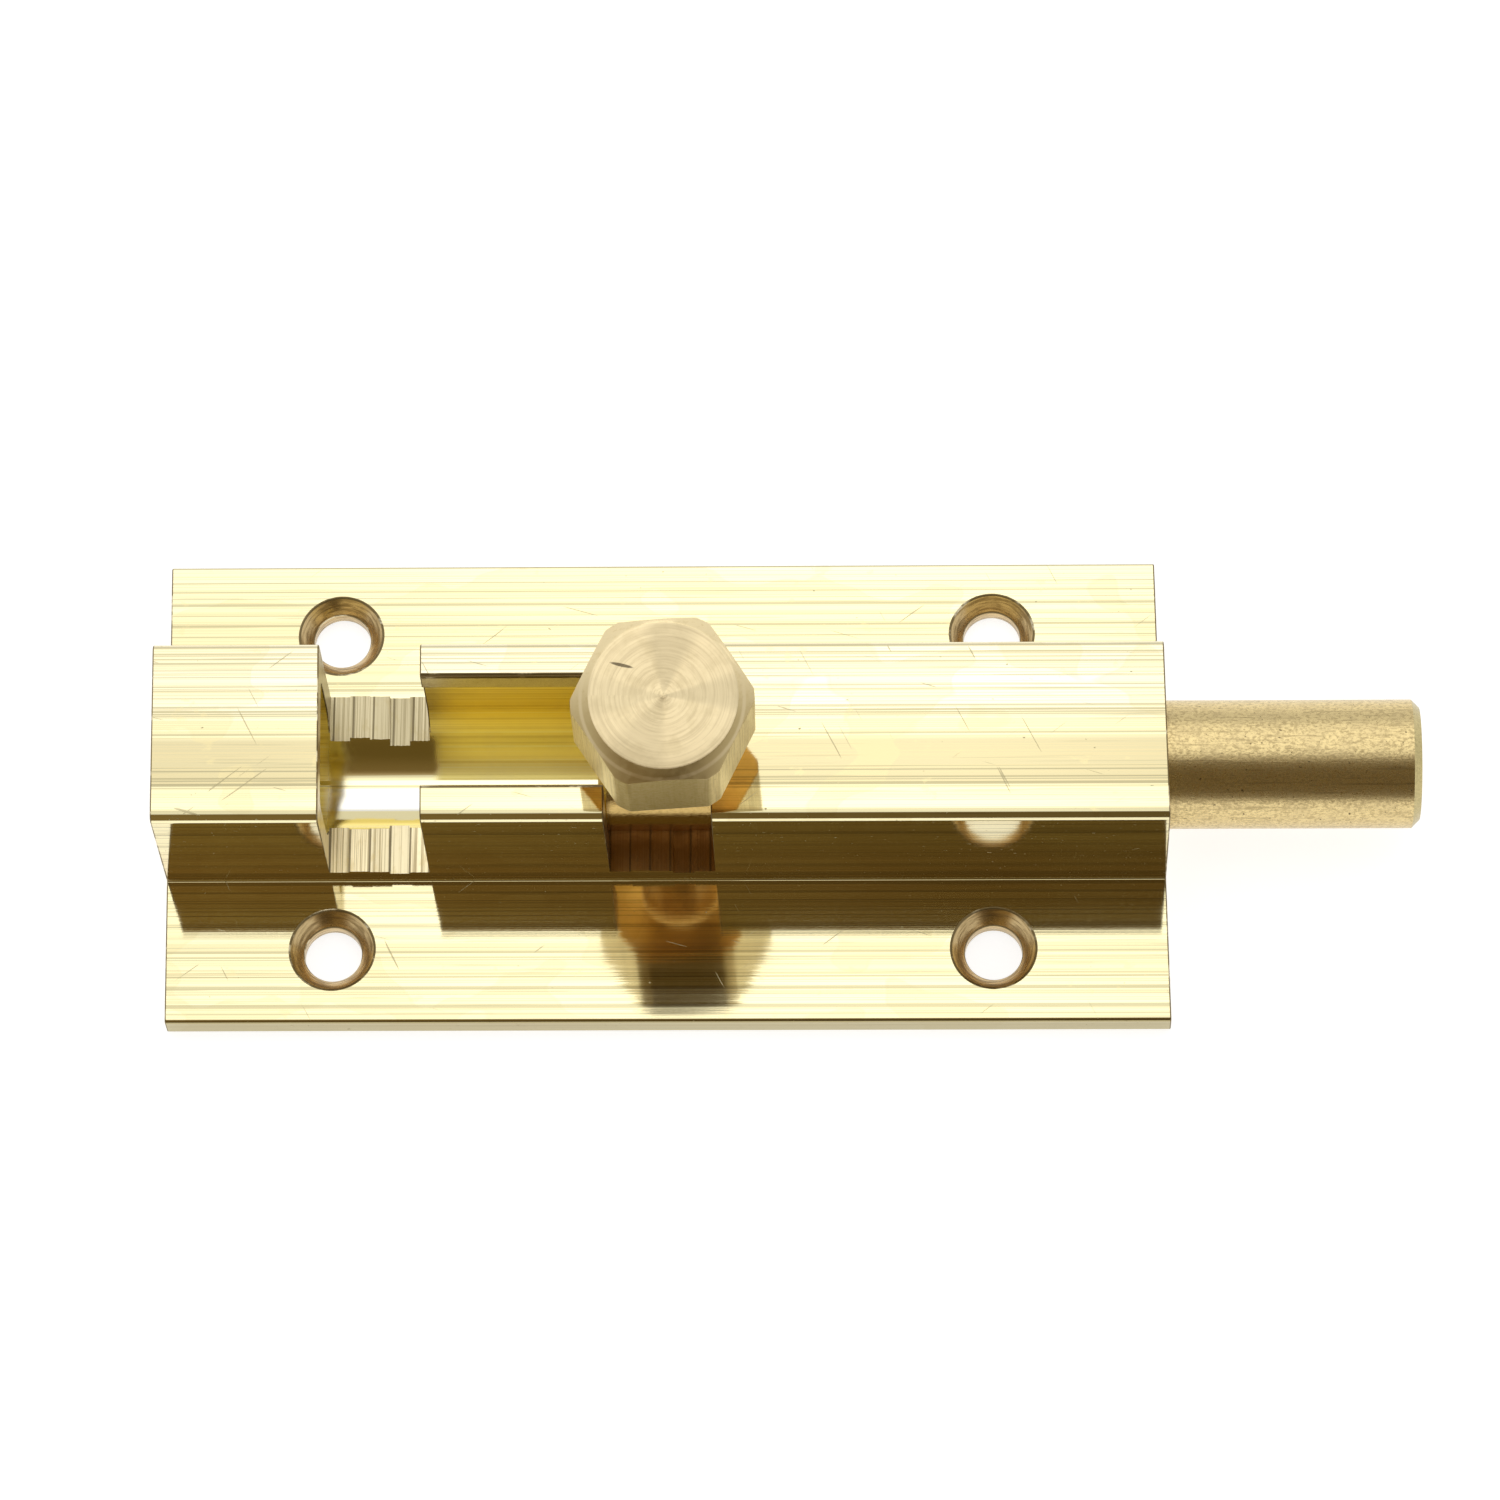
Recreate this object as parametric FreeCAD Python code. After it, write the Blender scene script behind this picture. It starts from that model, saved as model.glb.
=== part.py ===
import FreeCAD, Part
import math
import os

# Straight barrel bolt, solid brass. Millimetres.
#
# Frame: origin at the centre of the plate's underside. +X is the way the bolt is thrown,
# +Z points away from the door, and +Y lies across the plate.
#
# Pieces: an extruded body (plate and box section in one), the bolt rod that slides in it,
# and the hexagonal knob that moves the rod and turns down into the cross cuts.

# Plate
PLATE_LENGTH = 50.8
PLATE_WIDTH = 25.0
PLATE_THICKNESS = 1.5
PLATE_EDGE_RADIUS = 0.2

# Screw holes, countersunk from the front
HOLE_SPACING_X = 33.5
HOLE_SPACING_Y = 17.2
HOLE_DIAMETER = 2.9
COUNTERSINK_DIAMETER = 4.3
COUNTERSINK_ANGLE = 90.0

# Box section over the bolt
BOX_WIDTH = 9.6
BOX_TOP = 9.9
BOX_CORNER_RADIUS = 0.45
BOX_FOOT_RADIUS = 0.15

# Channel through the box: round floor, straight sides, flat roof
CHANNEL_RADIUS = 3.33
CHANNEL_ROOF = 8.5
CHANNEL_CORNER_RADIUS = 0.7

# Slot along the roof, between the two cross cuts
SLOT_WIDTH = 5.75
SLOT_EDGE_BREAK = 0.15

# Cross cuts, each milled right across the box in five side by side passes
OPEN_CUT_START = -16.92
OPEN_CUT_END = -11.83
LOCK_CUT_START = -2.67
LOCK_CUT_END = 2.68
CUT_FLOOR = 2.5
PASS_RISE = (0.0, 0.13, 0.07, -0.18, 0.0)

# Bolt rod
ROD_DIAMETER = 6.5
ROD_REAR = -3.1
ROD_TIP = 38.2
ROD_TIP_CHAMFER = 0.4
ROD_REAR_CHAMFER = 0.3

# Knob. Heights are measured outwards from the rod's axis.
KNOB_X = 0.27
KNOB_LEAN = 8.3
KNOB_TILT = 1.25
KNOB_ACROSS_FLATS = 8.14
KNOB_CORNER_DIAMETER = 9.02
KNOB_TWIST = 4.0
HEAD_UNDERSIDE = 8.1
HEAD_TOP = 14.5
FACING_DIAMETER = 7.44
HEAD_CHAMFER_ANGLE = 30.0
NECK_DIAMETER = 4.1
NECK_CLEARANCE = 0.05

# The rod rests on the channel's round floor, which is level with the plate's front face.
AXIS_Z = PLATE_THICKNESS + CHANNEL_RADIUS

X = FreeCAD.Vector(1, 0, 0)
Y = FreeCAD.Vector(0, 1, 0)
Z = FreeCAD.Vector(0, 0, 1)


def box(x0, x1, y0, y1, z0, z1):
    corner = FreeCAD.Vector(x0, y0, z0)
    return Part.makeBox(x1 - x0, y1 - y0, z1 - z0, corner)


def at_section(y, z):
    """A point of the extrusion's section, on the plate's left end."""
    return FreeCAD.Vector(-PLATE_LENGTH / 2, y, z)


def arc(start, centre, end):
    """The shorter arc from start to end around centre, all in the section's plane."""
    radius = (start - centre).Length
    outwards = (start - centre) + (end - centre)
    middle = centre + outwards * (radius / outwards.Length)
    return Part.Arc(start, middle, end).toShape()


def line(start, end):
    return Part.LineSegment(start, end).toShape()


def rounded_outline(corners):
    """A closed wire through corners given as (y, z, radius), each rounded by its radius."""
    edges = []
    joints = []
    count = len(corners)
    for i in range(count):
        y, z, radius = corners[i]
        here = at_section(y, z)
        before = at_section(*corners[i - 1][:2])
        after = at_section(*corners[(i + 1) % count][:2])
        back = (before - here).normalize()
        ahead = (after - here).normalize()
        start = here + back * radius
        end = here + ahead * radius
        joints.append((start, end))
        if radius > 0:
            edges.append(arc(start, here + (back + ahead) * radius, end))
    for i in range(count):
        edges.append(line(joints[i][1], joints[(i + 1) % count][0]))
    return Part.Wire(Part.__sortEdges__(edges))


def outer_outline():
    half_plate = PLATE_WIDTH / 2
    half_box = BOX_WIDTH / 2
    return rounded_outline([
        (-half_plate, 0.0, PLATE_EDGE_RADIUS),
        (half_plate, 0.0, PLATE_EDGE_RADIUS),
        (half_plate, PLATE_THICKNESS, PLATE_EDGE_RADIUS),
        (half_box, PLATE_THICKNESS, BOX_FOOT_RADIUS),
        (half_box, BOX_TOP, BOX_CORNER_RADIUS),
        (-half_box, BOX_TOP, BOX_CORNER_RADIUS),
        (-half_box, PLATE_THICKNESS, BOX_FOOT_RADIUS),
        (-half_plate, PLATE_THICKNESS, PLATE_EDGE_RADIUS),
    ])


def channel():
    """The space inside the box: a round floor below the axis and a square roof above it."""
    roof_length = PLATE_LENGTH
    round_floor = Part.makeCylinder(
        CHANNEL_RADIUS, roof_length, at_section(0, AXIS_Z), X
    )
    roof = box(
        -PLATE_LENGTH / 2, PLATE_LENGTH / 2,
        -CHANNEL_RADIUS, CHANNEL_RADIUS,
        AXIS_Z, CHANNEL_ROOF,
    )
    roof_edges = [
        e for e in roof.Edges
        if abs(e.CenterOfMass.z - CHANNEL_ROOF) < 1e-6 and e.Length > PLATE_LENGTH / 2
    ]
    roof = roof.makeFillet(CHANNEL_CORNER_RADIUS, roof_edges)
    return round_floor.fuse(roof)


def screw_hole(x, y):
    """A through hole with its countersink."""
    hole = Part.makeCylinder(
        HOLE_DIAMETER / 2, PLATE_THICKNESS + 2, FreeCAD.Vector(x, y, -1), Z
    )
    slope = math.tan(math.radians(COUNTERSINK_ANGLE / 2))
    depth = (COUNTERSINK_DIAMETER - HOLE_DIAMETER) / 2 / slope
    over = 0.5
    cone = Part.makeCone(
        HOLE_DIAMETER / 2,
        COUNTERSINK_DIAMETER / 2 + over * slope,
        depth + over,
        FreeCAD.Vector(x, y, PLATE_THICKNESS - depth),
        Z,
    )
    return hole.fuse(cone)


def cross_cut(start, end):
    """One cut across the box, whose passes end at slightly different depths."""
    step = (end - start) / len(PASS_RISE)
    passes = []
    for i, rise in enumerate(PASS_RISE):
        left = start + i * step
        passes.append(box(left, left + step, -7, 7, CUT_FLOOR + rise, BOX_TOP + 2))
    return passes[0].multiFuse(passes[1:])


def roof_slot():
    """The knob's slot through the roof, with its two long edges broken."""
    half = SLOT_WIDTH / 2
    left = OPEN_CUT_END - 1
    right = LOCK_CUT_START + 1
    slot = box(left, right, -half, half, CHANNEL_ROOF - 1, BOX_TOP + 2)
    low = BOX_TOP - SLOT_EDGE_BREAK
    over = 0.5
    edge_break = Part.makePolygon([
        FreeCAD.Vector(left, -half, low),
        FreeCAD.Vector(left, half, low),
        FreeCAD.Vector(left, half + SLOT_EDGE_BREAK + over, BOX_TOP + over),
        FreeCAD.Vector(left, -half - SLOT_EDGE_BREAK - over, BOX_TOP + over),
        FreeCAD.Vector(left, -half, low),
    ])
    return slot.fuse(Part.Face(edge_break).extrude(X * (right - left)))


def body():
    blank = Part.Face(outer_outline()).extrude(X * PLATE_LENGTH)
    cuts = [
        channel(),
        roof_slot(),
        cross_cut(OPEN_CUT_START, OPEN_CUT_END),
        cross_cut(LOCK_CUT_START, LOCK_CUT_END),
    ]
    for side_x in (-1, 1):
        for side_y in (-1, 1):
            cuts.append(screw_hole(side_x * HOLE_SPACING_X / 2, side_y * HOLE_SPACING_Y / 2))
    shape = blank
    for cut in cuts:
        shape = shape.cut(cut)
    return shape.removeSplitter()


def bolt_rod():
    rod = Part.makeCylinder(
        ROD_DIAMETER / 2, ROD_TIP - ROD_REAR, FreeCAD.Vector(ROD_REAR, 0, AXIS_Z), X
    )
    tip = [e for e in rod.Edges if abs(e.CenterOfMass.x - ROD_TIP) < 1e-6]
    rod = rod.makeChamfer(ROD_TIP_CHAMFER, tip)
    rear = [e for e in rod.Edges if abs(e.CenterOfMass.x - ROD_REAR) < 1e-6]
    return rod.makeChamfer(ROD_REAR_CHAMFER, rear)


def knob():
    """Hexagonal head on a round neck, standing on the rod and leaning to the front.

    It was turned from hexagonal bar, and its corners were skimmed round. Its axis is also
    tilted a little towards the bolt's tip.
    """
    axis_foot = FreeCAD.Vector(KNOB_X, 0, AXIS_Z)
    corner_radius = KNOB_ACROSS_FLATS / math.sqrt(3)
    corners = []
    for i in range(7):
        angle = math.radians(KNOB_TWIST + 60 * i)
        corners.append(axis_foot + FreeCAD.Vector(
            corner_radius * math.cos(angle),
            corner_radius * math.sin(angle),
            HEAD_UNDERSIDE,
        ))
    height = HEAD_TOP - HEAD_UNDERSIDE
    head = Part.Face(Part.makePolygon(corners)).extrude(Z * height)
    # the cone that turns the head's top corners away
    slope = math.tan(math.radians(HEAD_CHAMFER_ANGLE))
    facing_radius = FACING_DIAMETER / 2
    cone_foot_radius = facing_radius + height / slope
    turned = Part.makeCone(
        cone_foot_radius, facing_radius, height, axis_foot + Z * HEAD_UNDERSIDE, Z
    )
    skimmed = Part.makeCylinder(
        KNOB_CORNER_DIAMETER / 2, height, axis_foot + Z * HEAD_UNDERSIDE, Z
    )
    head = head.common(turned).common(skimmed)
    neck = Part.makeCylinder(
        NECK_DIAMETER / 2, HEAD_UNDERSIDE + 1, axis_foot, Z
    )
    shape = head.fuse(neck)
    shape.rotate(axis_foot, Y, KNOB_TILT)
    # the neck's foot is hollowed to fit round the rod
    saddle = Part.makeCylinder(
        ROD_DIAMETER / 2 + NECK_CLEARANCE, 20, axis_foot - X * 10, X
    )
    shape = shape.cut(saddle)
    # below the rod's axis nothing of the neck is left
    keep = box(
        KNOB_X - 10, KNOB_X + 10, -10, 10, AXIS_Z, AXIS_Z + HEAD_TOP + 1
    )
    shape = shape.common(keep).removeSplitter()
    shape.rotate(axis_foot, X, KNOB_LEAN)
    return shape


def main():
    os.makedirs("parts", exist_ok=True)
    pieces = {
        "extruded_body": body(),
        "bolt_rod": bolt_rod(),
        "hex_knob": knob(),
    }
    for name, shape in pieces.items():
        if len(shape.Solids) == 1:
            shape = shape.Solids[0]
        shape.exportStep(f"parts/{name}.step")


main()
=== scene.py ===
import math
import random

import bmesh
import bpy
from mathutils import Matrix, Vector


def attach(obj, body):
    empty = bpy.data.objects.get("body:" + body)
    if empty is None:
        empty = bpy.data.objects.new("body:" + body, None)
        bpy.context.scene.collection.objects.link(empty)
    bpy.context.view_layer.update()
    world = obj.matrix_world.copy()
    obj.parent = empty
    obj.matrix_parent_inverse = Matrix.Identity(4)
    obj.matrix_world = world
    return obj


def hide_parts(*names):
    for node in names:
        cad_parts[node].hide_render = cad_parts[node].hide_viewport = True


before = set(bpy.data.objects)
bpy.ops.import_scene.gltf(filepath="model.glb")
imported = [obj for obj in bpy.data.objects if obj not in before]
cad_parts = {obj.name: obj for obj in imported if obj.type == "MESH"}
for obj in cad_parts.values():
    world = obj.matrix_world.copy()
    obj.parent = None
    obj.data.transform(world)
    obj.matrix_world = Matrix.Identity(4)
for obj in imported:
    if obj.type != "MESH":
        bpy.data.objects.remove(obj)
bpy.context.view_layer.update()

scene = bpy.context.scene
MM = 0.001

# ---------------------------------------------------------------- dimensions
# Millimetres and degrees, the same as in part.py where they have the same name.

# plate and screw holes
PLATE_LENGTH = 50.8
PLATE_WIDTH = 25.0
PLATE_THICKNESS = 1.5
PLATE_EDGE_RADIUS = 0.2
HOLE_SPACING_X = 33.5
HOLE_SPACING_Y = 17.2
HOLE_RADIUS = 1.45
COUNTERSINK_RADIUS = 2.15

# box section over the bolt, and the channel in it
BOX_WIDTH = 9.6
BOX_TOP = 9.9
BOX_CORNER_RADIUS = 0.45
BOX_FOOT_RADIUS = 0.15
CHANNEL_RADIUS = 3.33
CHANNEL_ROOF = 8.5
CHANNEL_CORNER_RADIUS = 0.7
AXIS_Z = PLATE_THICKNESS + CHANNEL_RADIUS

# slot along the roof and the two cross cuts, each milled in five passes
SLOT_WIDTH = 5.75
SLOT_EDGE_BREAK = 0.15
OPEN_CUT = (-16.92, -11.83)
LOCK_CUT = (-2.67, 2.68)
CUT_FLOOR = 2.5
PASS_RISE = (0.0, 0.13, 0.07, -0.18, 0.0)
SCORES_PER_PASS = 10
SCORE_DEPTH = 0.012
CUTTER_REACH = 7.0              # half length of the cutters that cross the box
CUTTER_TOP = BOX_TOP + 3
SAW_SKEW = 0.021                # the ends and the cuts are this far out of square, mm per mm
EDGE_BREAK = 0.07

# bolt
ROD_RADIUS = 3.25
ROD_REAR = -3.1
ROD_TIP = 38.2
ROD_TIP_CHAMFER = 0.4

# knob; its heights are measured outwards from the bolt's axis
KNOB_X = 0.27
KNOB_LEAN = 8.3
KNOB_TILT = 1.25
KNOB_ACROSS_FLATS = 8.14
KNOB_CORNER_RADIUS = 4.51
KNOB_TWIST = 4.0
HEAD_UNDERSIDE = 8.1
HEAD_TOP = 14.5
FACING_RADIUS = 3.67
FACING_CENTRE = (0.05, 0.15)    # the face was turned slightly off the bar's middle
HEAD_CHAMFER_ANGLE = 30.0
HEAD_EDGE_BREAK = 0.07
NECK_RADIUS = 2.0
SADDLE_RADIUS = 3.29

# floor
FLOOR_SIZE = 3000.0
FLOOR_DROP = 0.02               # the floor lies this far under the plate

# meshes
ROD_SEGMENTS = 128
HOLE_SEGMENTS = 96
CHANNEL_STEPS = 40
CORNER_STEPS = 8
WELD = 0.0005                   # points closer than this are made one
SHARP_EDGE = 24                 # edges that turn by more than this are broken


# ---------------------------------------------------------------- mesh helpers
def make_object(name, points, faces):
    """A mesh object from points in millimetres."""
    mesh = bpy.data.meshes.new(name)
    mesh.from_pydata([Vector(p) * MM for p in points], [], faces)
    mesh.validate()
    obj = bpy.data.objects.new(name, mesh)
    scene.collection.objects.link(obj)
    bm = bmesh.new()
    bm.from_mesh(mesh)
    bmesh.ops.recalc_face_normals(bm, faces=bm.faces)
    bm.to_mesh(mesh)
    bm.free()
    return obj


def ring_faces(rings, count):
    """Four-sided faces between rings of count points each."""
    faces = []
    for ring in range(rings - 1):
        for k in range(count):
            a = ring * count + k
            b = ring * count + (k + 1) % count
            faces.append((a, b, b + count, a + count))
    return faces


def rounded(corners, steps):
    """A closed outline through (u, v, radius) corners that are square, each one rounded."""
    outline = []
    count = len(corners)
    for i in range(count):
        u, v, radius = corners[i]
        here = Vector((u, v))
        if radius == 0:
            outline.append(here)
            continue
        back = (Vector(corners[i - 1][:2]) - here).normalized() * radius
        ahead = (Vector(corners[(i + 1) % count][:2]) - here).normalized() * radius
        centre = here + back + ahead
        for k in range(steps + 1):
            turn = math.pi / 2 * k / steps
            outline.append(centre - ahead * math.cos(turn) - back * math.sin(turn))
    return outline


def prism_x(name, outline, start, end):
    """An outline of (y, z) points drawn out along X."""
    count = len(outline)
    points = [(x, y, z) for x in (start, end) for y, z in outline]
    ends = [tuple(range(count)), tuple(range(count, 2 * count))]
    return make_object(name, points, ring_faces(2, count) + ends)


def prism_y(name, outline, start, end):
    """An outline of (x, z) points drawn out along Y, leaning with the saw's skew."""
    count = len(outline)
    points = [
        (x - SAW_SKEW * (y + BOX_WIDTH / 2), y, z) for y in (start, end) for x, z in outline
    ]
    ends = [tuple(range(count)), tuple(range(count, 2 * count))]
    return make_object(name, points, ring_faces(2, count) + ends)


def lathe_z(name, profile, segments, centre):
    """A closed solid of (radius, z) points turned about an upright axis through centre."""
    points = []
    for radius, z in profile:
        for k in range(segments):
            turn = 2 * math.pi * k / segments
            points.append((
                centre[0] + radius * math.cos(turn),
                centre[1] + radius * math.sin(turn),
                z,
            ))
    faces = ring_faces(len(profile), segments)
    faces.append(tuple(range(segments)))
    last = (len(profile) - 1) * segments
    faces.append(tuple(range(last, last + segments)))
    return make_object(name, points, faces)


def settle(obj):
    """Applies the object's modifiers to its mesh."""
    graph = bpy.context.evaluated_depsgraph_get()
    mesh = bpy.data.meshes.new_from_object(obj.evaluated_get(graph))
    old = obj.data
    obj.modifiers.clear()
    obj.data = mesh
    bpy.data.meshes.remove(old)


def carve(obj, cutter, material):
    """Takes cutter out of obj; the new faces get material."""
    cutter.data.materials.append(material)
    boolean = obj.modifiers.new("carve", "BOOLEAN")
    boolean.operation = "DIFFERENCE"
    boolean.solver = "EXACT"
    boolean.material_mode = "TRANSFER"
    boolean.object = cutter
    settle(obj)
    mesh = cutter.data
    bpy.data.objects.remove(cutter)
    bpy.data.meshes.remove(mesh)


def soften(obj, width, chosen, material):
    """Rounds the chosen sharp edges by a small width and gives the new faces a material."""
    obj.data.materials.append(material)
    bm = bmesh.new()
    bm.from_mesh(obj.data)
    bmesh.ops.remove_doubles(bm, verts=bm.verts, dist=WELD * MM)
    bmesh.ops.dissolve_degenerate(bm, edges=bm.edges, dist=WELD * MM)
    edges = [
        e for e in bm.edges
        if len(e.link_faces) == 2
        and e.calc_face_angle(0) > math.radians(SHARP_EDGE)
        and chosen(e)
    ]
    bmesh.ops.bevel(
        bm, geom=edges, offset=width * MM, offset_type="OFFSET", segments=2,
        profile=0.5, affect="EDGES", clamp_overlap=False,
        material=len(obj.data.materials) - 1,
    )
    bm.to_mesh(obj.data)
    bm.free()


def shade(obj, angle=35):
    """Smooth shading, with hard edges kept where the faces turn by more than angle."""
    obj.data.shade_smooth()
    obj.data.set_sharp_from_angle(angle=math.radians(angle))
    weighted = obj.modifiers.new("even", "WEIGHTED_NORMAL")
    weighted.mode = "FACE_AREA"
    weighted.keep_sharp = True
    settle(obj)


# ---------------------------------------------------------------- node helpers
class Nodes:
    """A short way to write a node tree."""

    def __init__(self, tree):
        self.tree = tree
        tree.nodes.clear()

    def add(self, kind, **settings):
        node = self.tree.nodes.new(kind)
        for key, value in settings.items():
            setattr(node, key, value)
        return node

    def wire(self, source, target):
        self.tree.links.new(source, target)

    def feed(self, target, value):
        """Wires value in if it is a socket, else sets it."""
        if isinstance(value, bpy.types.NodeSocket):
            self.wire(value, target)
        else:
            target.default_value = value

    def math(self, operation, a, b=0.0):
        node = self.add("ShaderNodeMath", operation=operation)
        self.feed(node.inputs[0], a)
        self.feed(node.inputs[1], b)
        return node.outputs[0]

    def times(self, a, b):
        return self.math("MULTIPLY", a, b)

    def distance(self, x, y):
        """Length of the vector (x, y)."""
        return self.math("SQRT", self.math("ADD", self.times(x, x), self.times(y, y)))

    def ramp(self, value, low, high, out_low=0.0, out_high=1.0):
        """Maps low..high to out_low..out_high with soft ends."""
        node = self.add("ShaderNodeMapRange", interpolation_type="SMOOTHSTEP")
        self.feed(node.inputs["Value"], value)
        node.inputs["From Min"].default_value = low
        node.inputs["From Max"].default_value = high
        node.inputs["To Min"].default_value = out_low
        node.inputs["To Max"].default_value = out_high
        return node.outputs["Result"]

    def place(self, scale, turn=(0, 0, 0), offset=(0, 0, 0)):
        """Object coordinates in millimetres, scaled, turned and shifted."""
        coords = self.add("ShaderNodeTexCoord")
        vector = coords.outputs["Object"]
        if any(turn):
            turned = self.add("ShaderNodeMapping")
            self.wire(vector, turned.inputs["Vector"])
            turned.inputs["Rotation"].default_value = [math.radians(t) for t in turn]
            vector = turned.outputs["Vector"]
        mapping = self.add("ShaderNodeMapping")
        self.wire(vector, mapping.inputs["Vector"])
        mapping.inputs["Scale"].default_value = [s / MM for s in scale]
        mapping.inputs["Location"].default_value = offset
        return mapping.outputs["Vector"]

    def xyz_mm(self):
        """Object X, Y and Z in millimetres."""
        split = self.add("ShaderNodeSeparateXYZ")
        self.wire(self.place((1.0, 1.0, 1.0)), split.inputs["Vector"])
        return [split.outputs[k] for k in "XYZ"]

    def between(self, value, low, high, soft):
        """1 between low and high, 0 outside, with soft ends."""
        rise = self.ramp(value, low - soft, low + soft)
        fall = self.ramp(value, high - soft, high + soft, 1.0, 0.0)
        return self.times(rise, fall)

    def noise(self, vector, detail=2.0, rough=0.5):
        node = self.add("ShaderNodeTexNoise")
        self.wire(vector, node.inputs["Vector"])
        node.inputs["Scale"].default_value = 1.0
        node.inputs["Detail"].default_value = detail
        node.inputs["Roughness"].default_value = rough
        return node.outputs["Fac"]

    def mix(self, factor, a, b):
        """Colour a where factor is 0, b where it is 1. Colours are sockets or (r, g, b)."""
        node = self.add("ShaderNodeMix", data_type="RGBA")
        self.feed(node.inputs[0], factor)
        for socket, value in ((node.inputs[6], a), (node.inputs[7], b)):
            if isinstance(value, tuple):
                socket.default_value = (*value, 1.0)
            else:
                self.wire(value, socket)
        return node.outputs[2]

    def bump(self, height, depth_mm, normal=None):
        node = self.add("ShaderNodeBump")
        node.inputs["Strength"].default_value = 1.0
        node.inputs["Distance"].default_value = depth_mm * MM
        self.wire(height, node.inputs["Height"])
        if normal is not None:
            self.wire(normal, node.inputs["Normal"])
        return node.outputs["Normal"]


def metal(name, build):
    """A metallic material. build fills in colour, roughness and normal."""
    material = bpy.data.materials.new(name)
    material.use_nodes = True
    nodes = Nodes(material.node_tree)
    output = nodes.add("ShaderNodeOutputMaterial")
    shader = nodes.add("ShaderNodeBsdfPrincipled")
    shader.inputs["Metallic"].default_value = 1.0
    nodes.wire(shader.outputs["BSDF"], output.inputs["Surface"])
    build(nodes, shader)
    return material


def along_x(nodes):
    """The world direction of the object's X axis, for brushed reflections."""
    axis = nodes.add("ShaderNodeCombineXYZ")
    axis.inputs["X"].default_value = 1.0
    turn = nodes.add(
        "ShaderNodeVectorTransform",
        vector_type="VECTOR", convert_from="OBJECT", convert_to="WORLD",
    )
    nodes.wire(axis.outputs["Vector"], turn.inputs["Vector"])
    return turn.outputs["Vector"]


# ---------------------------------------------------------------- materials
BRASS = (0.93, 0.855, 0.53)
BRASS_LINE = (0.42, 0.37, 0.21)
BRASS_DEEP = (0.70, 0.59, 0.32)
BRASS_TAN = (0.78, 0.66, 0.34)
BRASS_PALE = (0.74, 0.65, 0.44)
BRASS_INNER = (0.94, 0.80, 0.27)
GRIME = (0.10, 0.07, 0.035)


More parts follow.
